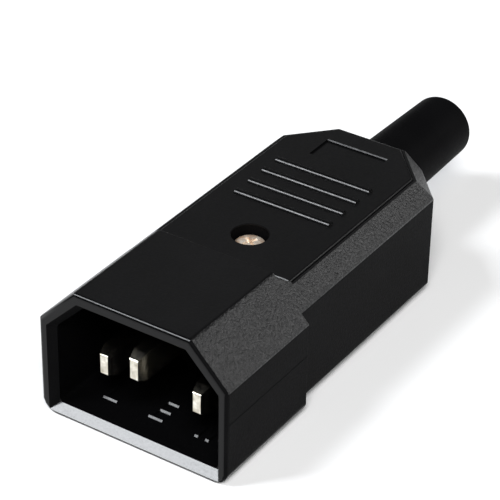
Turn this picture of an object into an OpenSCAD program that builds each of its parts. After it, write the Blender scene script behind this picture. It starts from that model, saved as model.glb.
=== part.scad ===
// Rewireable in-line appliance plug, IEC 60320 C14 pattern, 10 A, with earth.
// One moulded housing carries the shroud and the wiring tray, one screw holds the cover,
// three brass contacts end in screw terminals, and a bar clamps the cord behind the boot.
// X is the width, +Z is up, and the shroud's open rim faces -Y.

/* [Shroud] */
// Width over the shroud's side walls
shroud_w = 28.1; // [27.6:0.1:30]
// Height of the shroud
shroud_h = 19.6; // [19.2:0.1:21]
// Length of the shroud's side walls, from the rim to the step
shroud_len = 18; // [17.6:0.1:19]
// Width of each of the two long chamfers, across the shroud
chamfer_w = 5.45; // [5:0.05:6]
// Height of the two long chamfers
chamfer_h = 5.6; // [5:0.1:6.1]
// Radius of the shroud's two bottom corners
shroud_corner_r = 2.3; // [1.2:0.1:2.6]
// Rounding of the long edges between the top, the chamfers and the sides
edge_r = 1; // [0.5:0.1:1.4]
// Rounding of the rim's outer edge
rim_round = 0.6; // [0.3:0.05:0.8]
// Rounding of the step behind the shroud
step_round = 0.35; // [0.2:0.05:0.5]
// Length of the sloping shoulder between the shroud's top and the cover
shoulder_run = 2.5; // [1.5:0.1:3]

/* [Recess] */
// Width of the recess that takes the mating connector
recess_w = 24; // [23.7:0.1:24.4]
// Height of the recess
recess_h = 15.9; // [15.7:0.1:16.2]
// Thickness of the wall under the recess
recess_floor = 1.4; // [1.2:0.1:1.8]
// Depth of the recess, from the rim to the bulkhead
recess_depth = 17; // [16:0.1:17.4]
// Size of the 45 degree cuts on the recess's two upper corners
recess_cut = 4.3; // [4:0.1:4.8]
// Width of the lead-in bevel around the mouth
lead_w = 0.86; // [0.4:0.02:0.9]
// Depth of the lead-in bevel
lead_d = 1.1; // [0.6:0.1:1.6]

/* [Rear body] */
// Length of the housing, from the rim to the rear face
body_len = 55.9; // [55:0.1:62]
// Width of the step in the side walls behind the shroud
step_w = 1.2; // [0.8:0.1:1.5]
// Height of the rear body's underside above the shroud's
rear_lift = 1; // [0.6:0.1:1.4]
// Rounding of the rear body's bottom edges
rear_bottom_r = 1.2; // [0.6:0.1:1.6]
// Rounding of the edge between the rear body's sides and its hip
hip_r = 1.2; // [0.6:0.1:1.6]
// Rounding of the rear body's upright edges
upright_r = 0.8; // [0.4:0.1:1.2]
// Width of the corner cuts beside the rear face
corner_w = 4.75; // [4.3:0.05:5.3]
// Length of the corner cuts along the sides
corner_run = 5.3; // [5:0.1:6]
// Thickness of the side walls and the floor of the wiring tray
tray_wall = 1.8; // [1.6:0.1:2]
// Thickness of the bulkhead behind the recess
bulkhead_t = 3.2; // [2.8:0.1:3.8]
// Thickness of the rear wall around the boot
rear_wall_t = 3.2; // [3:0.1:3.4]

/* [Cover] */
// Drop from the shroud's top to the cover's top face
cover_drop = 1.7; // [1.3:0.1:2.1]
// Thickness of the cover plate
cover_t = 2; // [1.8:0.1:2.2]
// Gap all round the cover in its rebate
cover_gap = 0.1; // [0.05:0.05:0.2]
// Height of the cover's top face above the edge of the rebate
cover_reveal = 0.28; // [0.1:0.02:0.4]
// Width of the housing edge left showing around the cover
cover_margin = 0.2; // [0.15:0.05:0.4]
// Rounding of the cover's upper edges
cover_round = 0.3; // [0.15:0.05:0.4]
// Distance of the cover screw behind the rim
screw_y = 25.7; // [25:0.1:26.2]
// Diameter of the counterbore over the cover screw
counterbore_d = 4.9; // [4.6:0.1:5.4]
// Depth of the counterbore
counterbore_depth = 2.6; // [2.3:0.1:2.7]
// Number of grip ribs across the cover
rib_count = 4; // [3:1:5]
// Length of each grip rib
rib_len = 14.6; // [12:0.1:16]
// Diameter of the round bar that each rib is the top of
rib_d = 1.3; // [1:0.1:1.6]
// Height of the ribs above the cover
rib_rise = 0.5; // [0.3:0.05:0.6]
// Spacing of the ribs
rib_pitch = 3.3; // [2.6:0.1:3.5]
// Distance of the first rib behind the cover screw
rib_start = 7.6; // [7:0.1:8.4]
// Width of the plain recessed panel behind the ribs
panel_w = 9.5; // [8:0.1:10.5]
// Length of the recessed panel
panel_len = 4.6; // [3.5:0.1:5]
// Depth of the recessed panel
panel_depth = 0.3; // [0.2:0.05:0.5]
// Distance from the recessed panel to the cover's rear edge
panel_margin = 3.5; // [3:0.1:4]

/* [Terminal marks] */
// Width of the raised L, E and N marks on the floor of the recess
mark_w = 2.1; // [1.6:0.1:2.4]
// Length of the marks
mark_len = 4.1; // [3:0.1:4.4]
// Line width of the marks
mark_line = 0.5; // [0.4:0.05:0.6]
// Height of the marks above the floor of the recess
mark_rise = 0.2; // [0.1:0.05:0.3]
// Distance of the marks behind the rim
mark_setback = 4.8; // [3:0.1:6]

/* [Contacts] */
// Distance between the centres of the line and neutral blades
blade_pitch = 14; // [13.9:0.05:14.1]
// Thickness of each blade
blade_t = 2; // [1.9:0.05:2.1]
// Height of each blade
blade_h = 4; // [3.9:0.05:4.1]
// Height of the line and neutral centres above the shroud's underside
blade_z = 7.5; // [7.3:0.05:7.7]
// Rise of the earth blade above the line and neutral blades
earth_rise = 4; // [3.9:0.05:4.1]
// Distance of the line and neutral tips behind the rim
live_setback = 3.8; // [3.2:0.1:4.4]
// Distance of the earth tip behind the rim
earth_setback = 0.6; // [0.3:0.1:1.2]
// Bevel on the blade tips
tip_bevel = 0.5; // [0.3:0.05:0.6]
// Width of the terminal tabs
tab_w = 5; // [4.8:0.1:5.1]
// Length of the terminal tabs
tab_len = 9; // [8.6:0.1:9.2]
// Thickness of the terminal tabs
tab_t = 2; // [1.8:0.1:2.2]
// Thickness of the clamp plates under the terminal screws
plate_t = 0.8; // [0.6:0.1:1]
// Clearance around each contact in the housing
contact_gap = 0.05; // [0.03:0.01:0.1]

/* [Screws] */
// Thread diameter of the terminal screws
screw_d = 3; // [2.8:0.1:3.2]
// Head diameter of the terminal screws
head_d = 4.8; // [4.6:0.1:4.9]
// Head height of the terminal screws
head_h = 1.8; // [1.5:0.1:2]
// Thread length of the terminal screws
terminal_screw_len = 5; // [4.6:0.1:5.4]
// Thread diameter of the cover and cord clamp screws
small_screw_d = 2.5; // [2.3:0.1:2.6]
// Head diameter of the cover and cord clamp screws
small_head_d = 4.2; // [4:0.1:4.4]
// Head height of the cover and cord clamp screws
small_head_h = 1.5; // [1.2:0.1:1.7]
// Thread length of the cord clamp screws
clamp_screw_len = 7.4; // [6:0.1:8]
// Thread length of the cover screw
cover_screw_len = 6; // [5:0.1:6.4]
// Clearance between each thread and its hole
thread_gap = 0.03; // [0.02:0.01:0.05]

/* [Boot and cord clamp] */
// Drop from the cover's top face to the cord's axis
cord_drop = 7.5; // [7.4:0.1:7.7]
// Diameter of the bore that the cord runs through
cord_bore_d = 7.2; // [6.4:0.1:7.4]
// Length of the boot outside the rear face
boot_len = 20.6; // [16:0.1:26]
// Diameter of the boot at the rear face
boot_d = 10.1; // [9.8:0.1:10.3]
// Diameter of the boot at its tip
boot_tip_d = 9.3; // [9:0.1:9.7]
// Rounding of the boot's tip
boot_round = 0.9; // [0.4:0.1:1]
// Width of the boot's inner flange
flange_w = 13; // [12:0.1:13.4]
// Height of the boot's inner flange
flange_h = 9; // [8:0.1:9.4]
// Thickness of the boot's inner flange
flange_t = 2; // [1.6:0.1:2.2]
// Clearance around the boot in the housing
boot_gap = 0.1; // [0.05:0.05:0.2]
// Length of the cord clamp bar along the cord
clamp_len = 5.4; // [5:0.1:5.6]
// Thickness of the clamp bar's two feet
clamp_foot_t = 2; // [1.6:0.1:2.2]
// Thickness of the clamp bar's arch
clamp_arch_t = 1.5; // [1.3:0.1:1.6]

/* [Hidden] */
$fn = 64;
eps = 0.01;

moulding_colour = [0.12, 0.12, 0.12];
boot_colour = [0.16, 0.16, 0.16];
brass_colour = [0.80, 0.72, 0.50];
nickel_colour = [0.82, 0.80, 0.76];

overall_len = body_len + boot_len;
side_h = shroud_h - chamfer_h;
flat_w = shroud_w - 2 * chamfer_w;
rear_w = shroud_w - 2 * step_w;
cover_z = shroud_h - cover_drop;

// The shoulder straddles the step in the side walls.
shoulder_y0 = shroud_len - 0.44 * shoulder_run;
shoulder_y1 = shoulder_y0 + shoulder_run;

// The rear body's hip joins its walls to the cover's edge, in the plane of the shroud's chamfer.
chamfer_slope = chamfer_h / chamfer_w;
rear_side_h = side_h + step_w * chamfer_slope;
hip = (cover_z - rear_side_h) / chamfer_slope;
edge_z = cover_z - cover_reveal;
rear_edge_r = 0.4;
corner_y = body_len - corner_run;
corner_slope = corner_run / corner_w;
cover_inset = hip + cover_margin;
cover_rear = body_len - rear_edge_r - cover_margin;
ledge_z = cover_z - cover_t;
ledge_w = 0.5;

// Wiring tray
tray_z = rear_lift + tray_wall;
tray_y0 = recess_depth + bulkhead_t;
tray_y1 = body_len - rear_wall_t;
tray_half = rear_w / 2 - tray_wall;
mouth_inset = cover_inset + ledge_w;
mouth_half = rear_w / 2 - mouth_inset;
lip_gap = 0.1;
lip_t = 1;
lip_drop = 0.8;

// Cover screw
seat_z = cover_z - counterbore_depth;
ring_r = counterbore_d / 2 + 1;
ring_z = seat_z - 0.7;

// Contacts
earth_z = blade_z + earth_rise;
tab_y0 = tray_y0 + 2 * contact_gap;
tab_y1 = tab_y0 + tab_len;
terminal_y = tab_y0 + 0.55 * tab_len;
blade_root = 1.2;
block_half = 2.6;
block_z1 = ring_z - 1.1;
block_z0 = block_z1 - blade_h - 0.9;
block_y1 = screw_y + ring_r + 0.75;
post_r = block_half - 0.15;
earth_tab_y1 = block_y1 + tab_len - 0.6;
earth_terminal_y = block_y1 + 0.5 * tab_len;
earth_tab_z = block_z1 - 1.5 * tab_t;
barrier_x0 = block_half + contact_gap + 0.1;
barrier_x1 = blade_pitch / 2 - tab_w / 2 - contact_gap - 0.2;
barrier_z = ring_z - 0.1;
plate_len = tab_len - 2.4;
plate_w = tab_w - 0.4;

// Boot and cord clamp
cord_z = cover_z - cord_drop;
flange_y1 = tray_y1 - boot_gap;
flange_y0 = flange_y1 - flange_t;
keeper_w = 2.2;
keeper_t = 1.2;
keeper_y0 = flange_y0 - boot_gap - keeper_t;
clamp_y1 = keeper_y0 - 1;
clamp_y0 = clamp_y1 - clamp_len;
clamp_y = (clamp_y0 + clamp_y1) / 2;
clamp_z = cord_z + 0.1;
arch_r = cord_bore_d / 2 + clamp_arch_t;
clamp_x = arch_r + small_head_d / 2 + 0.05;
clamp_half = clamp_x + small_head_d / 2 + 0.1;
web_t = 1.6;
tongue_x = 4.8;
tongue_w = 1.8;
tongue_z0 = ledge_z - 1.7;
tongue_z1 = ledge_z - 0.8;
tongue_reach = 1.7;
tongue_lift = 0.1;
neck_len = 1.2;

// Convex outline with a radius of its own on each corner, given as [x, y, radius]. The arcs are
// circles laid over the outline that joins their tangent points.
function toward(a, b) = (b - a) / norm(b - a);
function corner_half_angle(a, b, c) = acos(toward(b, a) * toward(b, c)) / 2;

module rounded(points) {
    n = len(points);
    xy = [for (p = points) [p[0], p[1]]];
    polygon([for (i = [0 : n - 1])
        let (a = xy[(i + n - 1) % n], b = xy[i], c = xy[(i + 1) % n],
             t = points[i][2] / tan(corner_half_angle(a, b, c)))
        each t > 0 ? [b + t * toward(b, a), b + t * toward(b, c)] : [b]]);
    for (i = [0 : n - 1]) if (points[i][2] > 0) {
        a = xy[(i + n - 1) % n];
        b = xy[i];
        c = xy[(i + 1) % n];
        middle = toward(b, a) + toward(b, c);
        translate(b + middle / norm(middle) * points[i][2] / sin(corner_half_angle(a, b, c)))
            circle(points[i][2]);
    }
}

// Lifts a drawing made in X and Z into a bar that runs along Y.
module along_y(from, to) {
    translate([0, to, 0]) rotate([90, 0, 0]) linear_extrude(to - from) children();
}

// Lifts a drawing made in Y and Z into a bar that runs along X, centred.
module along_x(width) {
    translate([-width / 2, 0, 0]) rotate([90, 0, 90]) linear_extrude(width) children();
}

// Cross-section w wide with two cut upper corners, drawn in by d. f is the width of its top,
// h1 and h2 are the heights where the cuts start and end, z0 is its underside.
module section(w, f, h1, h2, z0, low_r, high_r, d = 0) {
    slope = (h2 - h1) / ((w - f) / 2);
    lean = (sqrt(1 + slope * slope) - 1) / slope;
    x1 = w / 2 - d;
    x2 = f / 2 - d * lean;
    z1 = h1 - d * lean;
    rounded([[-x1, z0 + d, low_r], [x1, z0 + d, low_r], [x1, z1, high_r],
             [x2, h2 - d, high_r], [-x2, h2 - d, high_r], [-x1, z1, high_r]]);
}

module shroud_section(d = 0) {
    section(shroud_w, flat_w, side_h, shroud_h, 0, shroud_corner_r - d / 2, edge_r - d / 2, d);
}

module recess_section(d = 0) {
    top = recess_floor + recess_h;
    section(recess_w, recess_w - 2 * recess_cut, top - recess_cut, top, recess_floor, 0.6, 0.8, d);
}

// Plan of the rear body from y0 to its rear face. Its sides and corner cuts are drawn in by d,
// and its rear face by e.
module rear_plan(y0, d = 0, e = 0, r = 0.2) {
    x1 = rear_w / 2 - d;
    y1 = corner_y + d * (corner_slope - sqrt(1 + corner_slope * corner_slope));
    y2 = body_len - e;
    x2 = x1 - (y2 - y1) / corner_slope;
    rounded([[-x1, y0, 0], [x1, y0, 0], [x1, y1, r], [x2, y2, r],
             [-x2, y2, r], [-x1, y1, r]]);
}

// All that lies inside a plane along Y, which faces angle at a distance from the middle of the
// underside. The drawing gives the distance and the Y of what is kept.
module inside_plane(angle, reach) {
    rotate([0, -angle, 0]) linear_extrude(4 * shroud_w, center = true) translate([reach, 0])
        children();
}

// The same drawing on all six walls of an outline like the shroud's, whose cuts run from h1 to h2
module inside_walls(w, f, h1, h2, z0) {
    slope = (h2 - h1) / ((w - f) / 2);
    cut_reach = (slope * w / 2 + h1) / norm([1, slope]);
    intersection() {
        inside_plane(90, h2) children();
        inside_plane(-90, -z0) children();
        inside_plane(0, w / 2) children();
        inside_plane(180, w / 2) children();
        inside_plane(atan(1 / slope), cut_reach) children();
        inside_plane(180 - atan(1 / slope), cut_reach) children();
    }
}

// Rounds the rim where it turns the shroud's bottom corners
module inside_low_corners() {
    r = shroud_corner_r;
    intersection_for(a = [22.5, 45, 67.5]) intersection_for(turn = [-a, a - 180])
        inside_plane(turn, (shroud_w / 2 - r) * cos(a) - r * sin(a) + r + 0.03) children();
}

// Shroud with a rounded rim, and a smaller rounding on the step behind it
module shroud_solid() {
    intersection() {
        along_y(0, shroud_len) shroud_section();
        inside_walls(shroud_w, flat_w, side_h, shroud_h, 0) shroud_edges();
        inside_low_corners() shroud_edges();
    }
}

// Section through the ends of one wall of the shroud
module shroud_edges() {
    rounded([[-2 * shroud_w, 0, 0], [0, 0, rim_round], [0, shroud_len, step_round],
             [-2 * shroud_w, shroud_len, 0]]);
}

// Shoulder that slopes from the shroud's top down to the cover
module shoulder_solid() {
    intersection() {
        along_y(0, shoulder_y1) shroud_section();
        along_x(shroud_w) polygon([[shoulder_y0 - 1, edge_z], [shoulder_y0 - 1, shroud_h],
            [shoulder_y0, shroud_h], [shoulder_y1, cover_z], [shoulder_y1, edge_z]]);
    }
}

// All that lies behind one upright plane, which faces angle at a distance from the rim's centre.
// The drawing gives the distance and the height of what is kept.
module behind_plane(angle) {
    rotate([90, 0, angle]) linear_extrude(4 * body_len, center = true) children();
}

// The same drawing on the two sides and the two corner cuts, drawn in by d
module behind_walls(d = 0) {
    corner_angle = atan(1 / corner_slope);
    corner_reach = (corner_slope * rear_w / 2 + corner_y) / norm([1, corner_slope]);
    intersection() {
        behind_plane(0) translate([rear_w / 2 - d, 0]) children();
        behind_plane(180) translate([rear_w / 2 - d, 0]) children();
        behind_plane(corner_angle) translate([corner_reach - d, 0]) children();
        behind_plane(180 - corner_angle) translate([corner_reach - d, 0]) children();
    }
}

// Rear body: a rounded foot, upright walls, and a hip that leans in to the cover's edge on the
// sides and the corner cuts. The rear face stays upright and rounds over at its top.
module rear_solid() {
    intersection() {
        translate([0, 0, rear_lift]) linear_extrude(cover_z)
            rear_plan(shroud_len - 3, 0, 0, upright_r);
        behind_walls() rounded([[-body_len, rear_lift, 0], [0, rear_lift, rear_bottom_r],
                                [0, rear_side_h, hip_r],
                                [cover_reveal / chamfer_slope - hip, edge_z, 0],
                                [-body_len, edge_z, 0]]);
        behind_plane(90) rounded([[0, rear_lift, 0], [body_len, rear_lift, rear_bottom_r],
                                  [body_len, edge_z, rear_edge_r], [0, edge_z, 0]]);
    }
}

// Recess with its lead-in bevel
module recess_cutter() {
    top = recess_floor + recess_h;
    along_y(-1, recess_depth) recess_section();
    inside_walls(recess_w, recess_w - 2 * recess_cut, top - recess_cut, top, recess_floor)
        polygon([[-2 * recess_w, -1], [lead_w * (1 + 1 / lead_d), -1], [0, lead_d],
                 [-2 * recess_w, lead_d]]);
}

// Wiring tray, narrowed at the top to leave a ledge for the cover
module tray_cutter() {
    mouth_z = ledge_z - lip_drop;
    intersection() {
        along_y(tray_y0, tray_y1) translate([-tray_half, tray_z])
            square([2 * tray_half, cover_z]);
        behind_walls() polygon([[-body_len, tray_z], [-tray_wall, tray_z],
                                [-tray_wall, mouth_z - 0.7], [-mouth_inset, mouth_z],
                                [-mouth_inset, cover_z + 1], [-body_len, cover_z + 1]]);
    }
}

module rebate_cutter() {
    translate([0, 0, ledge_z]) linear_extrude(cover_t + shroud_h)
        intersection() {
            rear_plan(0, cover_inset - cover_gap, body_len - cover_rear - cover_gap, 0.5);
            translate([-rear_w / 2, shoulder_y1]) square([rear_w, body_len]);
        }
}

// Seat under a terminal tab, with a well for the screw's tip and a stop behind the tab
module tab_seat(y0, y1, z, screw_at, stop) {
    half = tab_w / 2 - 0.2;
    difference() {
        union() {
            translate([-half, y0, tray_z - eps]) cube([2 * half, y1 - y0, z - contact_gap - tray_z]);
            if (stop > 0) translate([-half, y1 + contact_gap, tray_z - eps])
                cube([2 * half, 1.1, z + stop - tray_z]);
        }
        translate([0, screw_at, z - terminal_screw_len]) cylinder(h = terminal_screw_len + 1,
                                                                   d = screw_d + 0.4);
    }
}

// Walls and seats that stand on the tray's floor
module tray_fittings() {
    for (side = [-1, 1]) {
        // seats of the line and neutral tabs
        translate([side * blade_pitch / 2, 0, 0])
            tab_seat(tab_y0 + blade_root + contact_gap, tab_y1, blade_z - tab_t / 2,
                     terminal_y, tab_t);
        // barriers on each side of the earth contact
        translate([side * (barrier_x0 + barrier_x1) / 2 - (barrier_x1 - barrier_x0) / 2,
                   tray_y0 - eps, tray_z - eps])
            cube([barrier_x1 - barrier_x0, block_y1 - tray_y0 - 0.2, barrier_z - tray_z]);
        // bosses of the cord clamp screws
        difference() {
            translate([side * clamp_x, clamp_y, tray_z - eps])
                cylinder(h = clamp_z - tray_z, d = small_head_d + 0.4);
            translate([side * clamp_x, clamp_y, clamp_z + clamp_foot_t - clamp_screw_len - 0.5])
                cylinder(h = clamp_screw_len + 1, d = small_screw_d + 2 * thread_gap);
        }
        // keepers in front of the boot's flange
        translate([side * (flange_w / 2 - 0.2) - keeper_w / 2, keeper_y0, tray_z - eps])
            cube([keeper_w, keeper_t, cord_z - tray_z]);
    }
    // cradle of the earth contact's block
    translate([-block_half, tray_y0 - eps, tray_z - eps])
        cube([2 * block_half, block_y1 - tray_y0 - 1, block_z0 - contact_gap - tray_z]);
    // seat of the earth tab
    tab_seat(block_y1 + 0.4, earth_tab_y1, earth_tab_z - tab_t / 2, earth_terminal_y, 0);
    // two webs that cradle the cord between the clamp screws
    difference() {
        for (y = [clamp_y0, clamp_y1 - web_t])
            translate([-clamp_x, y, tray_z - eps]) cube([2 * clamp_x, web_t, clamp_z - tray_z]);
        along_y(clamp_y0 - 1, clamp_y1 + 1) translate([0, cord_z]) circle(d = cord_bore_d);
        for (side = [-1, 1]) translate([side * clamp_x, clamp_y, tray_z])
            cylinder(h = clamp_z, d = small_screw_d + 2 * thread_gap);
    }
}

// Raised marks under the three blades: L, E and N, read from the rim
module terminal_marks() {
    a = mark_w / 2;
    b = mark_line;
    translate([0, mark_setback, recess_floor - eps]) linear_extrude(mark_rise + eps) {
        translate([-blade_pitch / 2, 0]) {
            translate([-a, 0]) square([b, mark_len]);
            translate([-a, 0]) square([mark_w, b]);
        }
        translate([-a, 0]) square([b, mark_len]);
        for (y = [0, (mark_len - b) / 2, mark_len - b]) translate([-a, y]) square([mark_w, b]);
        translate([blade_pitch / 2, 0]) {
            for (x = [-a, a - b]) translate([x, 0]) square([b, mark_len]);
            polygon([[-a, mark_len], [-a + b, mark_len], [a, 0], [a - b, 0]]);
        }
    }
}

module blade_slot(x, z) {
    along_y(recess_depth - 1, tray_y0 + 1) translate([x, z])
        square([blade_t + 2 * contact_gap, blade_h + 2 * contact_gap], center = true);
}

module lower_housing() {
    color(moulding_colour) {
        difference() {
            union() {
                shroud_solid();
                shoulder_solid();
                rear_solid();
            }
            recess_cutter();
            tray_cutter();
            rebate_cutter();
            for (side = [-1, 1]) blade_slot(side * blade_pitch / 2, blade_z);
            blade_slot(0, earth_z);
            // hole for the boot through the rear wall
            along_y(tray_y1 - 1, body_len + 1) translate([0, cord_z])
                circle(d = boot_d + 2 * boot_gap);
            // slots for the cover's rear tongues, and the way down to them
            for (side = [-1, 1]) translate([side * tongue_x - tongue_w / 2 - cover_gap,
                                            tray_y1 - eps, tongue_z0 - tongue_lift])
                cube([tongue_w + 2 * cover_gap, tongue_reach + 2 * cover_gap,
                      tongue_z1 - tongue_z0 + 2 * tongue_lift]);
            for (side = [-1, 1]) translate([side * tongue_x - tongue_w / 2 - cover_gap,
                                            tray_y1 - neck_len - 0.2, tongue_z0 - tongue_lift])
                cube([tongue_w + 2 * cover_gap, neck_len + 0.2, ledge_z - tongue_z0 + 1]);
        }
        tray_fittings();
        terminal_marks();
    }
}

// One grip rib: the top of a round bar
module grip_rib(y) {
    translate([-rib_len / 2, y, cover_z + rib_rise - rib_d / 2]) rotate([0, 90, 0])
        cylinder(h = rib_len, d = rib_d);
}

// Cover plate, with the housing's own corner cuts and with rounded upper edges
module cover_plate() {
    intersection() {
        translate([0, 0, ledge_z]) linear_extrude(cover_t) intersection() {
            rear_plan(0, cover_inset, body_len - cover_rear, 0.5);
            translate([-rear_w / 2, shoulder_y1 + cover_gap]) square([rear_w, body_len]);
        }
        behind_walls(cover_inset) rounded([[-body_len, 0, 0], [0, 0, 0], [0, cover_z, cover_round],
                                           [-body_len, cover_z, 0]]);
        behind_plane(90) rounded([[0, 0, 0], [cover_rear, 0, 0], [cover_rear, cover_z, cover_round],
                                  [0, cover_z, 0]]);
    }
}

module top_cover() {
    color(moulding_colour) difference() {
        union() {
            cover_plate();
            for (i = [0 : rib_count - 1]) grip_rib(screw_y + rib_start + i * rib_pitch);
            // lips that centre the cover in the tray's mouth
            for (side = [-1, 1]) translate([side * (mouth_half - lip_gap - lip_t / 2) - lip_t / 2,
                                            tray_y0 + 1, ledge_z - lip_drop + lip_gap])
                cube([lip_t, corner_y - tray_y0 - 3, lip_drop]);
            // tongues that hook under the rear wall
            for (side = [-1, 1]) {
                translate([side * tongue_x - tongue_w / 2, tray_y1 - neck_len, tongue_z0])
                    cube([tongue_w, neck_len - cover_gap, ledge_z - tongue_z0 + eps]);
                translate([side * tongue_x - tongue_w / 2, tray_y1 - neck_len, tongue_z0])
                    cube([tongue_w, neck_len + tongue_reach, tongue_z1 - tongue_z0]);
            }
            // ring under the screw's head and the post that stands on the earth block
            translate([0, screw_y, ring_z]) cylinder(h = ledge_z - ring_z + eps, r = ring_r);
            translate([0, screw_y, block_z1 + 0.1])
                cylinder(h = ledge_z - block_z1, r = post_r);
        }
        translate([0, screw_y, seat_z]) cylinder(h = counterbore_depth + 1, d = counterbore_d);
        translate([0, screw_y, block_z1]) cylinder(h = cover_z, d = small_screw_d + 0.3);
        translate([-panel_w / 2, cover_rear - panel_margin - panel_len, cover_z - panel_depth])
            cube([panel_w, panel_len, panel_depth + 1]);
    }
}

// Pan head screw with a cross recess, its seat at z = 0 and its thread pointing down
module pan_screw(d, length, wide, high) {
    color(nickel_colour) difference() {
        union() {
            translate([0, 0, -length]) cylinder(h = length + eps, d = d);
            rotate_extrude() intersection() {
                translate([0, high - 0.7 * wide]) circle(0.7 * wide);
                square([wide / 2, high]);
            }
        }
        for (turn = [0, 90]) rotate([0, 0, turn])
            translate([-0.3 * wide, -0.07 * wide, 0.45 * high])
                cube([0.6 * wide, 0.14 * wide, high]);
    }
}

module cover_screw() {
    translate([0, screw_y, seat_z])
        pan_screw(small_screw_d, cover_screw_len, small_head_d, small_head_h);
}

module cable_boot() {
    tip = overall_len;
    color(boot_colour) difference() {
        union() {
            translate([0, 0, cord_z]) rotate([-90, 0, 0]) rotate_extrude() {
                polygon([[0, flange_y0], [boot_d / 2, flange_y0], [boot_d / 2, body_len],
                         [boot_tip_d / 2, tip - boot_round], [0, tip - boot_round]]);
                translate([0, tip - boot_round - eps])
                    square([boot_tip_d / 2 - boot_round, boot_round + eps]);
                intersection() {
                    translate([boot_tip_d / 2 - boot_round, tip - boot_round]) circle(boot_round);
                    translate([0, tip - boot_round - eps]) square([boot_tip_d, tip]);
                }
            }
            translate([-flange_w / 2, flange_y0, cord_z - flange_h / 2 - 0.7])
                cube([flange_w, flange_t, flange_h]);
        }
        along_y(flange_y0 - 1, tip + 1) translate([0, cord_z]) circle(d = cord_bore_d);
    }
}

// Arched bar that presses the cord onto the webs
module cord_clamp() {
    color(moulding_colour) difference() {
        union() {
            along_y(clamp_y0, clamp_y1) intersection() {
                translate([0, cord_z]) circle(arch_r);
                translate([-arch_r, clamp_z]) square([2 * arch_r, arch_r]);
            }
            translate([-clamp_half, clamp_y0, clamp_z])
                cube([2 * clamp_half, clamp_len, clamp_foot_t]);
        }
        along_y(clamp_y0 - 1, clamp_y1 + 1) translate([0, cord_z]) circle(d = cord_bore_d);
        for (side = [-1, 1]) translate([side * clamp_x, clamp_y, clamp_z - 1])
            cylinder(h = clamp_foot_t + 2, d = small_screw_d + 0.3);
    }
}

module cord_clamp_screw(side) {
    translate([side * clamp_x, clamp_y, clamp_z + clamp_foot_t])
        pan_screw(small_screw_d, clamp_screw_len, small_head_d, small_head_h);
}

// Flat blade with a bevelled tip, from its tip to y1
module blade(tip, y1) {
    translate([-blade_t / 2, tip + tip_bevel, -blade_h / 2])
        cube([blade_t, y1 - tip - tip_bevel, blade_h]);
    hull() for (a = [0 : 30 : 90]) {
        in = tip_bevel * (1 - cos(a));
        translate([-blade_t / 2 + in, tip + tip_bevel * (1 - sin(a)), -blade_h / 2 + in])
            cube([blade_t - 2 * in, eps, blade_h - 2 * in]);
    }
}

module tab(y0, y1, screw_at) {
    difference() {
        translate([-tab_w / 2, y0, -tab_t / 2]) cube([tab_w, y1 - y0, tab_t]);
        translate([0, screw_at, -tab_t]) cylinder(h = 2 * tab_t, d = screw_d + 2 * thread_gap);
    }
}

module live_contact(side) {
    color(brass_colour) translate([side * blade_pitch / 2, 0, blade_z]) {
        blade(live_setback, tab_y0 + blade_root);
        tab(tab_y0, tab_y1, terminal_y);
    }
}

// The earth contact's block also takes the cover screw.
module earth_contact() {
    color(brass_colour) difference() {
        union() {
            translate([0, 0, earth_z]) blade(earth_setback, tab_y0 + 1);
            translate([-block_half, tab_y0, block_z0])
                cube([2 * block_half, block_y1 - tab_y0, block_z1 - block_z0]);
            translate([0, 0, earth_tab_z]) tab(block_y1 - eps, earth_tab_y1, earth_terminal_y);
        }
        translate([0, screw_y, block_z0 - 1])
            cylinder(h = block_z1 - block_z0 + 2, d = small_screw_d + 2 * thread_gap);
    }
}

// Clamp plate that lies on a tab under its screw
module clamp_plate(x, y, z) {
    color(nickel_colour) translate([x, y, z + tab_t / 2]) difference() {
        translate([-plate_w / 2, -plate_len / 2, 0]) cube([plate_w, plate_len, plate_t]);
        translate([0, 0, -1]) cylinder(h = plate_t + 2, d = screw_d + 0.3);
    }
}

module terminal_screw(x, y, z) {
    translate([x, y, z + tab_t / 2 + plate_t])
        pan_screw(screw_d, terminal_screw_len, head_d, head_h);
}

// Puts the origin under the middle of the whole plug.
module placed() {
    translate([0, -overall_len / 2, 0]) children();
}

placed() lower_housing();
placed() top_cover();
placed() cover_screw();
placed() cable_boot();
placed() cord_clamp();
placed() cord_clamp_screw(-1);  // cord_clamp_screw_left
placed() cord_clamp_screw(1);  // cord_clamp_screw_right
placed() live_contact(-1);  // line_contact
placed() live_contact(1);  // neutral_contact
placed() earth_contact();
placed()  // line_clamp_plate
    clamp_plate(-blade_pitch / 2, terminal_y, blade_z);
placed()  // neutral_clamp_plate
    clamp_plate(blade_pitch / 2, terminal_y, blade_z);
placed()  // earth_clamp_plate
    clamp_plate(0, earth_terminal_y, earth_tab_z);
placed()  // line_terminal_screw
    terminal_screw(-blade_pitch / 2, terminal_y, blade_z);
placed()  // neutral_terminal_screw
    terminal_screw(blade_pitch / 2, terminal_y, blade_z);
placed()  // earth_terminal_screw
    terminal_screw(0, earth_terminal_y, earth_tab_z);
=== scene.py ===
# Rewireable in-line appliance plug, dressed in the order in which the real one is put together:
# housing, contacts, clamp plates, terminal screws, boot, cord clamp, cover, and the one screw
# that closes it.
import math

import bpy
from mathutils import Matrix, Vector


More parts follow.
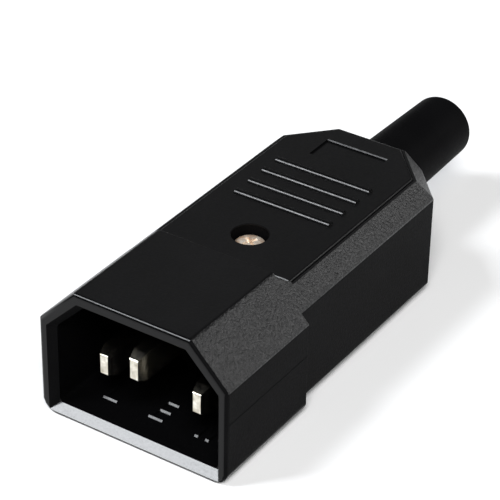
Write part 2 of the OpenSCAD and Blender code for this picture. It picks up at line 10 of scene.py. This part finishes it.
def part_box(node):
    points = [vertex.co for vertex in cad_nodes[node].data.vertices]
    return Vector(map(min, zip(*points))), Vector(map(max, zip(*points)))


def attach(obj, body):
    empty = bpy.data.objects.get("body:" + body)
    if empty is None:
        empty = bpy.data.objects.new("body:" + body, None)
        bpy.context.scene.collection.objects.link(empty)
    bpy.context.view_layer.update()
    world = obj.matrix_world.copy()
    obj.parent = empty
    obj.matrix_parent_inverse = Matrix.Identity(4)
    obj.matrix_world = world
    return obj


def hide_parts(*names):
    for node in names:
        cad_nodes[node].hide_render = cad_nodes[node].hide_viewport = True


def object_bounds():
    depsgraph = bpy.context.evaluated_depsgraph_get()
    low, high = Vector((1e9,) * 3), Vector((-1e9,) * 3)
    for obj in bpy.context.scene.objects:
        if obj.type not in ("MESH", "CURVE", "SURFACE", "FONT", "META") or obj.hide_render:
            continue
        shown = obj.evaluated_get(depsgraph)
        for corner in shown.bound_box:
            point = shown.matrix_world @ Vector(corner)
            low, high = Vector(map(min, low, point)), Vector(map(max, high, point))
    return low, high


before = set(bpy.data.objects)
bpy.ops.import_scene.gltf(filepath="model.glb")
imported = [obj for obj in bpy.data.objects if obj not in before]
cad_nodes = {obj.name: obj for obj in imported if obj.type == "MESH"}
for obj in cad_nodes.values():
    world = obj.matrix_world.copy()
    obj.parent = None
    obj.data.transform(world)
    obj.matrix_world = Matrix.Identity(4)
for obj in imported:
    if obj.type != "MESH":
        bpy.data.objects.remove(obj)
cad_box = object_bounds()
bpy.ops.object.select_all(action="DESELECT")

# ---------------------------------------------------------------------------------------------
# Stage: a pale table, a long lens that looks down on the open rim from the front right, and four
# soft panels. The key panel stands high on the front left, where the rim's lower bevel mirrors it.
# The rear panel, low on the right, rakes over the long chamfer and brings out its grain.
MM = 0.001
rim_y = cad_box[0][1]
lens_direction = Vector((0.4598, -0.7036, 0.5418)).normalized()
lens_level = Vector((-lens_direction.y, lens_direction.x, 0)).normalized()
lens_up = lens_direction.cross(lens_level)
lens_roll = math.radians(1.04)
lens_distance, lens_length, film_width = 277.2 * MM, 158.5, 36
aim = Vector((1.77 * MM, rim_y + 23.05 * MM, 17.54 * MM))
camera_right = math.cos(lens_roll) * lens_level + math.sin(lens_roll) * lens_up
camera_up = math.cos(lens_roll) * lens_up - math.sin(lens_roll) * lens_level
bpy.ops.object.camera_add()
camera = bpy.context.object
camera.data.sensor_width = film_width
camera.data.lens = lens_length
camera.data.clip_start = 0.01
camera.matrix_world = Matrix.Translation(aim + lens_direction * lens_distance) @ Matrix(
    (camera_right, camera_up, lens_direction)).transposed().to_4x4()
bpy.context.scene.camera = camera
bpy.context.scene.view_settings.view_transform = "Standard"

table_size, table_grey = 6, 0.92
bpy.ops.mesh.primitive_plane_add(size=table_size, location=(0, 0, cad_box[0][2]))
table_top = bpy.context.object
table_top.name = "table_top"
table_paint = bpy.data.materials.new("table_paint")
table_paint.use_nodes = True
table_shader = table_paint.node_tree.nodes["Principled BSDF"]
table_shader.inputs["Base Color"].default_value = (table_grey, table_grey, table_grey, 1)
table_shader.inputs["Roughness"].default_value = 0.9
table_shader.inputs["Specular IOR Level"].default_value = 0.1
table_top.data.materials.append(table_paint)


def soft_panel(name, direction, distance, size, power, colour=(1, 1, 1)):
    """Rectangular lamp, at this distance from the plug and turned to face it."""
    place = Vector(direction).normalized() * distance
    bpy.ops.object.light_add(type="AREA", location=place)
    panel = bpy.context.object
    panel.name = name
    panel.data.shape = "RECTANGLE"
    panel.data.size, panel.data.size_y = size
    panel.data.energy = power
    panel.data.color = colour
    panel.rotation_euler = (-place).to_track_quat("-Z", "Y").to_euler()


soft_panel("key_panel", (-0.46, -0.46, 0.77), 1.0, (0.24, 0.38), 7.5, (0.94, 0.965, 1.0))
soft_panel("lens_side_panel", (0.42, -0.62, 0.86), 1.2, (0.5, 0.4), 13.5)
soft_panel("rear_panel", (0.65, 0.62, 0.46), 1.1, (0.5, 0.28), 3.1)
soft_panel("far_panel", (-0.46, 0.70, 0.54), 1.1, (0.5, 0.3), 0.15)
room = bpy.data.worlds.new("room")
room.use_nodes = True
room.node_tree.nodes["Background"].inputs["Color"].default_value = (1, 1, 1, 1)
room.node_tree.nodes["Background"].inputs["Strength"].default_value = 0.05
bpy.context.scene.world = room


def make_active(piece):
    bpy.ops.object.select_all(action="DESELECT")
    bpy.context.view_layer.objects.active = piece
    piece.select_set(True)


def edit_all(piece):
    """Leaves the piece in edit mode with all of it selected."""
    make_active(piece)
    bpy.ops.object.mode_set(mode="EDIT")
    bpy.ops.mesh.select_all(action="SELECT")


def worked_copy(node, name):
    """New piece from a CAD node's mesh: its triangles are joined and its flats made whole."""
    piece = bpy.data.objects.new(name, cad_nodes[node].data.copy())
    bpy.context.collection.objects.link(piece)
    edit_all(piece)
    bpy.ops.mesh.remove_doubles(threshold=0.0005 * MM)
    bpy.ops.mesh.customdata_custom_splitnormals_clear()
    bpy.ops.mesh.dissolve_limited(angle_limit=math.radians(0.3), delimit={"NORMAL"})
    bpy.ops.object.mode_set(mode="OBJECT")
    return piece


def near(value, target, slack=0.01 * MM):
    return abs(value - target) < slack


def clear_picks(piece, kind):
    """Leaves the piece in object mode with nothing of its mesh selected."""
    make_active(piece)
    bpy.ops.object.mode_set(mode="EDIT")
    bpy.ops.mesh.select_mode(type=kind)
    bpy.ops.mesh.select_all(action="DESELECT")
    bpy.ops.object.mode_set(mode="OBJECT")


def pick_edges(piece, test):
    """Leaves the piece in edit mode with the edges selected whose two ends pass the test."""
    clear_picks(piece, "EDGE")
    corners = piece.data.vertices
    for edge in piece.data.edges:
        edge.select = test(corners[edge.vertices[0]].co, corners[edge.vertices[1]].co)
    bpy.ops.object.mode_set(mode="EDIT")


def pick_faces(piece, test):
    """Leaves the piece in edit mode with the faces selected whose centre and normal pass."""
    clear_picks(piece, "FACE")
    for face in piece.data.polygons:
        face.select = test(face.center, face.normal)
    bpy.ops.object.mode_set(mode="EDIT")


def lean_edges(piece, test, lean):
    """Moves the upper edges of upright walls back, so that the walls slope."""
    pick_edges(piece, test)
    bpy.ops.transform.translate(value=(0, lean, 0))
    bpy.ops.object.mode_set(mode="OBJECT")


def soften(piece, angle=24):
    """Smooths shallow edges and keeps the flats flat."""
    make_active(piece)
    bpy.ops.object.shade_smooth_by_angle(angle=math.radians(angle))
    even = piece.modifiers.new("even", "WEIGHTED_NORMAL")
    even.keep_sharp = True
    bpy.ops.object.modifier_apply(modifier=even.name)


housing = worked_copy("lower_housing", "housing")

# the strokes of the raised L, E and N lean back from the rim, to leave the mould easily
mark_y, mark_top, mark_lean, stroke_pitch = rim_y + 4.8 * MM, 1.6 * MM, 0.23 * MM, 1.8 * MM
mark_fronts = (mark_y, mark_y + stroke_pitch, mark_y + 2 * stroke_pitch)
lean_edges(housing, lambda a, b: near(a.z, mark_top) and near(b.z, mark_top) and any(
    near(a.y, y) and near(b.y, y) for y in mark_fronts), mark_lean)

# the mould's parting line along the middle of the shroud's sides
parting_z, parting_w, parting_depth = 9.3 * MM, 0.12 * MM, 0.04 * MM
for side in (-1, 1):
    wall_x = side * cad_box[1][0]
    for edge_z in (parting_z - parting_w / 2, parting_z + parting_w / 2):
        pick_faces(housing, lambda centre, facing: facing.x * side > 0.99
                   and near(centre.x, wall_x, 0.05 * MM))
        bpy.ops.mesh.bisect(plane_co=(0, 0, edge_z), plane_no=(0, 0, 1))
        bpy.ops.object.mode_set(mode="OBJECT")
    pick_faces(housing, lambda centre, facing: facing.x * side > 0.99
               and near(centre.x, wall_x, 0.05 * MM) and near(centre.z, parting_z, 0.03 * MM))
    bpy.ops.mesh.extrude_region_move(
        TRANSFORM_OT_translate={"value": (-side * parting_depth, 0, 0)})
    bpy.ops.object.mode_set(mode="OBJECT")
soften(housing)


def paint_nodes(name, metallic=0.0, specular=0.5):
    paint = bpy.data.materials.new(name)
    paint.use_nodes = True
    nodes, links = paint.node_tree.nodes, paint.node_tree.links
    shader = nodes["Principled BSDF"]
    shader.inputs["Metallic"].default_value = metallic
    shader.inputs["Specular IOR Level"].default_value = specular
    place = nodes.new("ShaderNodeTexCoord")
    return paint, nodes, links, shader, place.outputs["Object"]


def mottle(nodes, links, place, scale, detail=2.0, roughness=0.5):
    noise = nodes.new("ShaderNodeTexNoise")
    noise.inputs["Scale"].default_value = scale
    noise.inputs["Detail"].default_value = detail
    noise.inputs["Roughness"].default_value = roughness
    links.new(place, noise.inputs["Vector"])
    return noise.outputs["Fac"]


def spread(nodes, links, value, low, high):
    """Turns the middle of a mottle's range into low to high."""
    ranged = nodes.new("ShaderNodeMapRange")
    ranged.inputs["From Min"].default_value = 0.3
    ranged.inputs["From Max"].default_value = 0.7
    ranged.inputs["To Min"].default_value = low
    ranged.inputs["To Max"].default_value = high
    links.new(value, ranged.inputs["Value"])
    return ranged.outputs["Result"]


def two_tone(nodes, links, value, dark, light):
    ramp = nodes.new("ShaderNodeValToRGB")
    for element, position, colour in zip(ramp.color_ramp.elements, (0.35, 0.65), (dark, light)):
        element.position = position
        element.color = (*colour, 1)
    links.new(value, ramp.inputs["Fac"])
    return ramp.outputs["Color"]


def bumps(nodes, links, height, depth, shader):
    bump = nodes.new("ShaderNodeBump")
    bump.inputs["Distance"].default_value = depth
    bump.inputs["Strength"].default_value = 1.0
    links.new(height, bump.inputs["Height"])
    links.new(bump.outputs["Normal"], shader.inputs["Normal"])


def moulded(name, dark, light, gloss, grain_size, grain_depth, specular=0.28):
    """Moulded plastic: faint clouds in its black, and the mould's grain in gloss and relief."""
    paint, nodes, links, shader, place = paint_nodes(name, specular=specular)
    clouds_per_metre = 90
    cloud = mottle(nodes, links, place, clouds_per_metre, 3)
    links.new(two_tone(nodes, links, cloud, dark, light), shader.inputs["Base Color"])
    pebble = mottle(nodes, links, place, 1 / grain_size, 2.5, 0.6)
    links.new(spread(nodes, links, pebble, gloss - 0.05, gloss + 0.07), shader.inputs["Roughness"])
    bumps(nodes, links, pebble, grain_depth, shader)
    return paint


black, sooty = (0.0018, 0.0018, 0.0020), (0.0028, 0.0028, 0.0031)
dull_black, dull_soot = (0.0024, 0.0024, 0.0026), (0.0036, 0.0036, 0.0039)
housing_nylon = moulded("housing_nylon", black, sooty, gloss=0.36, grain_size=0.3 * MM,
                        grain_depth=0.012 * MM)
grained_nylon = moulded("grained_nylon", black, sooty, gloss=0.36, grain_size=0.38 * MM,
                        grain_depth=0.14 * MM, specular=0.48)
rubbed_nylon = moulded("rubbed_nylon", dull_black, dull_soot, gloss=0.50, grain_size=0.3 * MM,
                       grain_depth=0.03 * MM, specular=0.025)
polished_nylon = moulded("polished_nylon", black, black, gloss=0.17, grain_size=0.2 * MM,
                         grain_depth=0.001 * MM, specular=0.18)
burnished_nylon = moulded("burnished_nylon", black, black, gloss=0.15, grain_size=0.2 * MM,
                          grain_depth=0.001 * MM, specular=0.34)
housing.data.materials.clear()
for paint in (housing_nylon, grained_nylon, rubbed_nylon, polished_nylon, burnished_nylon):
    housing.data.materials.append(paint)
GRAINED, RUBBED, POLISHED, BURNISHED = 1, 2, 3, 4

# the chamfers and the hip are grained and the upright walls rubbed; the rim and the recess are
# polished, and the plug's mate burnishes the lower lead-in bevel as it slides over it
recess_half, recess_floor, recess_top, recess_depth = 12 * MM, 1.4 * MM, 17.3 * MM, 17 * MM
recess_corner, lead_in = 26.5 * MM, 1.1 * MM
for face in housing.data.polygons:
    place, facing = face.center, face.normal
    at_rim = place.y < rim_y + lead_in and facing.y < -0.3
    in_recess = (place.y < rim_y + recess_depth + 0.01 * MM
                 and abs(place.x) < recess_half + 1 * MM
                 and recess_floor - 0.05 * MM < place.z < recess_top + 0.9 * MM
                 and abs(place.x) + place.z < recess_corner)
    if at_rim and facing.z > 0.5 and place.z < recess_floor:
        face.material_index = BURNISHED
    elif at_rim and facing.x > 0.3:
        face.material_index = RUBBED
    elif at_rim or in_recess:
        face.material_index = POLISHED
    elif 0.25 < facing.z < 0.9:
        face.material_index = GRAINED
    elif abs(facing.z) < 0.25:
        face.material_index = RUBBED
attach(housing, "root")
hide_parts("lower_housing")

# ---------------------------------------------------------------------------------------------
# Contacts: three brass blades, stamped, coined to a taper at the tip and bright nickel plated,
# each with a tab for the wire at its rear. They drop into slots in the bulkhead. The earth blade
# is longer, and its block also takes the cover's screw.


def plated(name, dark, light, gloss, scratch_depth=0.004 * MM, scratch_length=8, metallic=1.0):
    """Plated metal: stains in its tone and gloss, and fine scratches along the part."""
    paint, nodes, links, shader, place = paint_nodes(name, metallic=metallic)
    stains_per_metre, scratches_per_metre = 900, 5000
    stain = mottle(nodes, links, place, stains_per_metre, 4, 0.65)
    links.new(two_tone(nodes, links, stain, dark, light), shader.inputs["Base Color"])
    links.new(spread(nodes, links, stain, gloss + 0.12, gloss - 0.04), shader.inputs["Roughness"])
    stretch = nodes.new("ShaderNodeMapping")
    stretch.inputs["Scale"].default_value = (1, 1 / scratch_length, 1)
    links.new(place, stretch.inputs["Vector"])
    scratches = mottle(nodes, links, stretch.outputs["Vector"], scratches_per_metre, 2)
    bumps(nodes, links, scratches, scratch_depth, shader)
    return paint


blade_plating = plated("blade_plating", (0.40, 0.36, 0.28), (0.93, 0.90, 0.80), 0.15,
                       scratch_depth=0.012 * MM, scratch_length=2)
# rings of the coined tip: millimetres behind the tip, half thickness and half height
coining = ((1.6, 1.0, 2.0), (1.4, 0.98, 1.98), (0.16, 0.64, 1.5), (0.04, 0.58, 1.42),
           (0, 0.52, 1.36))
half_pitch, live_z, earth_z = 7 * MM, 7.5 * MM, 11.5 * MM
for wire, blade_x, blade_z in (("line", -half_pitch, live_z), ("neutral", half_pitch, live_z),
                               ("earth", 0, earth_z)):
    contact = wire + "_contact"
    blade = worked_copy(contact, wire + "_blade")
    tip_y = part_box(contact)[0].y
    edit_all(blade)
    bpy.ops.mesh.bisect(plane_co=(0, tip_y + coining[0][0] * MM, 0), plane_no=(0, 1, 0),
                        clear_inner=True, use_fill=True)
    for ring, next_ring in zip(coining, coining[1:]):
        bpy.ops.mesh.extrude_region_move(
            TRANSFORM_OT_translate={"value": (0, (next_ring[0] - ring[0]) * MM, 0)})
        bpy.ops.transform.resize(
            value=(next_ring[1] / ring[1], 1, next_ring[2] / ring[2]),
            center_override=(blade_x, tip_y + next_ring[0] * MM, blade_z))
    bpy.ops.object.mode_set(mode="OBJECT")
    soften(blade, 28)
    blade.data.materials.clear()
    blade.data.materials.append(blade_plating)
    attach(blade, "root")
    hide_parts(contact)

# ---------------------------------------------------------------------------------------------
# Clamp plates: small steel plates, punched and nickel plated, one under each terminal screw.
# They spread the screw's load over the bare wire.


def finish_node(node, paint):
    """Gives a CAD node that keeps its own mesh its finish."""
    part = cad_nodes[node]
    for material_slot in part.material_slots:
        material_slot.material = paint


plate_plating = plated("plate_plating", (0.50, 0.48, 0.44), (0.78, 0.76, 0.72), 0.28)
for plate in ("line_clamp_plate", "neutral_clamp_plate", "earth_clamp_plate"):
    finish_node(plate, plate_plating)

# ---------------------------------------------------------------------------------------------
# Terminal screws: pan heads with a cross recess, cold headed in steel, thread rolled and nickel
# plated with a warm passivated tone. One is modelled and copied to the other two terminals.


def turned(name, centre, axis, profile, corners):
    """Solid turned about an axis through centre: profile lists (distance along it, radius)."""
    along, turn = {"Z": (Vector((0, 0, 1)), (0, 0, 0)),
                   "Y": (Vector((0, 1, 0)), (-math.pi / 2, 0, 0))}[axis]
    at, radius = profile[0]
    bpy.ops.object.select_all(action="DESELECT")
    bpy.ops.mesh.primitive_circle_add(vertices=corners, radius=radius, fill_type="NGON",
                                      location=Vector(centre) + along * at, rotation=turn)
    piece = bpy.context.object
    piece.name = name
    bpy.ops.object.transform_apply(location=True, rotation=True, scale=True)
    bpy.ops.object.mode_set(mode="EDIT")
    bpy.ops.mesh.select_all(action="SELECT")
    for next_at, next_radius in profile[1:]:
        bpy.ops.mesh.extrude_region_move(
            TRANSFORM_OT_translate={"value": along * (next_at - at)})
        size = next_radius / radius
        across = Vector((size, size, 1)) if axis == "Z" else Vector((size, 1, size))
        bpy.ops.transform.resize(value=across, center_override=Vector(centre) + along * next_at)
        at, radius = next_at, next_radius
    bpy.ops.mesh.select_all(action="SELECT")
    bpy.ops.mesh.normals_make_consistent(inside=False)
    bpy.ops.object.mode_set(mode="OBJECT")
    return piece


def cut_or_join(piece, tool, operation):
    make_active(piece)
    change = piece.modifiers.new("change", "BOOLEAN")
    change.operation = operation
    change.solver = "EXACT"
    change.object = tool
    bpy.ops.object.modifier_apply(modifier=change.name)
    bpy.data.objects.remove(tool)


def smooth(piece, angle):
    make_active(piece)
    bpy.ops.object.shade_smooth_by_angle(angle=math.radians(angle))


def cross_wing(seat, wide, high, turn):
    """One tapered wing of the driver's recess."""
    wing_length, wing_width, top, depth = 0.56 * wide, 0.13 * wide, 1.05 * high, 0.62 * high
    bpy.ops.object.select_all(action="DESELECT")
    bpy.ops.mesh.primitive_cube_add(size=1, location=(seat.x, seat.y, seat.z + top - depth / 2),
                                    scale=(wing_length, wing_width, depth))
    wing = bpy.context.object
    bpy.ops.object.transform_apply(location=True, rotation=True, scale=True)
    pick_faces(wing, lambda centre, facing: facing.z < -0.9)
    bpy.ops.transform.resize(value=(0.35, 0.55, 1),
                             center_override=(seat.x, seat.y, seat.z + top - depth))
    bpy.ops.mesh.select_all(action="SELECT")
    bpy.ops.transform.rotate(value=turn, orient_axis="Z",
                             center_override=(seat.x, seat.y, seat.z))
    bpy.ops.object.mode_set(mode="OBJECT")
    return wing


def pan_head_screw(name, seat, thread_d, length, wide, high, pitch=0.5 * MM):
    """Screw whose head sits on seat: the thread runs down from it and the head stands on it."""
    thread_r, core_r = thread_d / 2, thread_d / 2 - 0.16 * MM
    point_run, run_in, run_out, head_edge = 0.3 * MM, 0.45 * MM, 0.2 * MM, 0.12 * MM
    profile = [(-length, core_r * 0.55), (-length + point_run, core_r)]
    at = -length + run_in
    while at + pitch < -run_out:
        profile += [(at, core_r), (at + 0.42 * pitch, thread_r), (at + 0.5 * pitch, thread_r),
                    (at + 0.92 * pitch, core_r)]
        at += pitch
    profile += [(0, core_r), (0.0001 * MM, wide / 2 - head_edge), (0.1 * MM, wide / 2)]
    shoulder = 0.6 * high
    profile.append((shoulder, wide / 2))
    for step in range(1, 9):
        a = math.radians(step * 10.8)
        profile.append((shoulder + (high - shoulder) * math.sin(a),
                        wide / 2 * math.cos(a) ** 0.4))
    screw = turned(name, seat, "Z", profile, 48)
    for turn in (0.45, 0.45 + math.pi / 2):
        cut_or_join(screw, cross_wing(Vector(seat), wide, high, turn), "DIFFERENCE")
    smooth(screw, 35)
    return screw


def second_screw(screw, name, move):
    """Copy of a screw, with its own mesh, moved to another seat."""
    made = screw.copy()
    made.data = screw.data.copy()
    made.name = name
    bpy.context.collection.objects.link(made)
    made.data.transform(Matrix.Translation(move))
    return made


def foot_of(node):
    """Lowest point on a CAD screw's axis."""
    low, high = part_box(node)
    return Vector(((low[0] + high[0]) / 2, (low[1] + high[1]) / 2, low[2]))


screw_plating = plated("screw_plating", (0.50, 0.32, 0.20), (0.96, 0.89, 0.78), 0.55,
                       scratch_depth=0.05 * MM, scratch_length=1, metallic=0.8)


def fit_screw(screw, node):
    screw.data.materials.clear()
    screw.data.materials.append(screw_plating)
    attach(screw, "root")
    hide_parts(node)


terminal_thread, terminal_length, terminal_head, terminal_high = 3 * MM, 5 * MM, 4.8 * MM, 1.8 * MM
line_foot = foot_of("line_terminal_screw")
line_screw = pan_head_screw(
    "line_terminal_pan_head", line_foot + Vector((0, 0, terminal_length)),
    terminal_thread, terminal_length, terminal_head, terminal_high)
neutral_screw, earth_screw = (
    second_screw(line_screw, wire + "_terminal_pan_head",
                 foot_of(wire + "_terminal_screw") - line_foot) for wire in ("neutral", "earth"))
fit_screw(line_screw, "line_terminal_screw")
fit_screw(neutral_screw, "neutral_terminal_screw")
fit_screw(earth_screw, "earth_terminal_screw")

# ---------------------------------------------------------------------------------------------
# Cable boot: a soft PVC sleeve, moulded in one with the flange that locks it behind the rear
# wall. It tapers a little to a rounded open end, and the cord runs through its bore.
boot_low, boot_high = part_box("cable_boot")
cord_z, root_r, tip_r, bore_r = 10.4 * MM, 5.05 * MM, 4.65 * MM, 3.6 * MM
tip_round, root_land, flange_t, rear_face_y = 0.9 * MM, 0.4 * MM, 2 * MM, rim_y + 55.9 * MM
boot_axis = Vector((0, 0, cord_z))
taper_y = rear_face_y + root_land
taper_run = boot_high.y - tip_round - taper_y
sleeve_profile = [(boot_low.y, root_r), (rear_face_y, root_r), (taper_y, root_r)]
for step in range(1, 9):
    share = step / 8
    sleeve_profile.append((taper_y + taper_run * share, root_r + (tip_r - root_r) * share))
for step in range(1, 9):
    a = math.radians(step * 11.25)
    sleeve_profile.append((boot_high.y - tip_round + tip_round * math.sin(a),
                           tip_r - tip_round * (1 - math.cos(a))))
sleeve = turned("boot_sleeve", boot_axis, "Y", sleeve_profile, 96)

bpy.ops.object.select_all(action="DESELECT")
bpy.ops.mesh.primitive_cube_add(
    size=1, location=(0, boot_low.y + flange_t / 2, (boot_low.z + boot_high.z) / 2),
    scale=(boot_high.x - boot_low.x, flange_t, boot_high.z - boot_low.z))
flange = bpy.context.object
bpy.ops.object.transform_apply(location=True, rotation=True, scale=True)
bore = turned("bore", boot_axis, "Y",
              [(boot_low.y - 1 * MM, bore_r), (boot_high.y - 0.5 * MM, bore_r),
               (boot_high.y - 0.2 * MM, bore_r + 0.08 * MM),
               (boot_high.y + 0.3 * MM, bore_r + 0.6 * MM)], 96)
cut_or_join(sleeve, flange, "UNION")
cut_or_join(sleeve, bore, "DIFFERENCE")
smooth(sleeve, 30)
boot_pvc = moulded("boot_pvc", (0.0022, 0.0022, 0.0024), (0.0034, 0.0034, 0.0037), gloss=0.52,
                   grain_size=0.28 * MM, grain_depth=0.02 * MM, specular=0.02)
sleeve.data.materials.clear()
sleeve.data.materials.append(boot_pvc)
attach(sleeve, "root")
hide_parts("cable_boot")

# ---------------------------------------------------------------------------------------------
# Cord clamp: an arched nylon bar that two screws pull down, so that the cord is held between it
# and the housing's webs. Its screws have the cover screw's head; one is a copy of the other.
finish_node("cord_clamp", housing_nylon)
small_thread, small_head, small_high, clamp_screw_length = 2.5 * MM, 4.2 * MM, 1.5 * MM, 7.4 * MM
left_foot = foot_of("cord_clamp_screw_left")
left_screw = pan_head_screw("left_clamp_pan_head", left_foot + Vector((0, 0, clamp_screw_length)),
                            small_thread, clamp_screw_length, small_head, small_high)
right_screw = second_screw(left_screw, "right_clamp_pan_head",
                           foot_of("cord_clamp_screw_right") - left_foot)
fit_screw(left_screw, "cord_clamp_screw_left")
fit_screw(right_screw, "cord_clamp_screw_right")

# ---------------------------------------------------------------------------------------------
# Top cover: a moulded plate that hooks under the rear wall and drops into the housing's rebate,
# with four grip ribs, a bare recess for a label and the counterbore of its screw. Its ribs and
# its front edge are worn to a gloss by fingers.


def bevel_edges(piece, test, width, segments):
    pick_edges(piece, test)
    bpy.ops.mesh.bevel(offset=width, segments=segments, affect="EDGES")
    bpy.ops.object.mode_set(mode="OBJECT")


cover = worked_copy("top_cover", "cover")
cover_low, cover_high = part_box("top_cover")
cover_z, cover_front = 17.9 * MM, cover_low.y
label_rear, label_half = cover_high.y - 3.5 * MM, 4.75 * MM
screw_y, counterbore_r = rim_y + 25.7 * MM, 2.45 * MM

# the upper part of the label recess's rear wall leans back
lean_height, label_lean = 0.13 * MM, 0.14 * MM
pick_faces(cover, lambda centre, facing: facing.y < -0.99 and near(centre.y, label_rear))
bpy.ops.mesh.bisect(plane_co=(0, 0, cover_z - lean_height), plane_no=(0, 0, 1))
bpy.ops.object.mode_set(mode="OBJECT")
lean_edges(cover, lambda a, b: near(a.z, cover_z) and near(b.z, cover_z) and near(a.y, b.y)
           and near(a.y, label_rear) and abs(a.x) < label_half + 0.25 * MM, label_lean)
bevel_edges(cover, lambda a, b: near(a.z, cover_z) and near(b.z, cover_z)
            and near(a.y, cover_front) and near(b.y, cover_front), 0.09 * MM, 1)
bevel_edges(cover, lambda a, b: all(near(p.z, cover_z) and near(
    math.hypot(p.x, p.y - screw_y), counterbore_r, 0.05 * MM) for p in (a, b)), 0.15 * MM, 2)
soften(cover)

cover_nylon = moulded("cover_nylon", black, sooty, gloss=0.36, grain_size=0.3 * MM,
                      grain_depth=0.008 * MM, specular=0.24)
worn_nylon = moulded("worn_nylon", black, sooty, gloss=0.22, grain_size=0.35 * MM,
                     grain_depth=0.004 * MM)
cover.data.materials.clear()
for paint in (cover_nylon, worn_nylon, rubbed_nylon):
    cover.data.materials.append(paint)
WORN = 1
for face in cover.data.polygons:
    on_front_edge = face.center.y < cover_front + 0.1 * MM and 0.3 < face.normal.z < 0.9
    if face.center.z > cover_z + 0.02 * MM or on_front_edge:
        face.material_index = WORN
    elif abs(face.normal.z) < 0.25:
        face.material_index = RUBBED
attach(cover, "root")
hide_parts("top_cover")

# ---------------------------------------------------------------------------------------------
# Cover screw: the only screw seen from outside, of plated steel and sunk in the cover. It goes
# down through the cover's post into the earth contact's block.
cover_screw_length = 6 * MM
closing_screw = pan_head_screw(
    "cover_pan_head", foot_of("cover_screw") + Vector((0, 0, cover_screw_length)),
    small_thread, cover_screw_length, small_head, small_high)
fit_screw(closing_screw, "cover_screw")
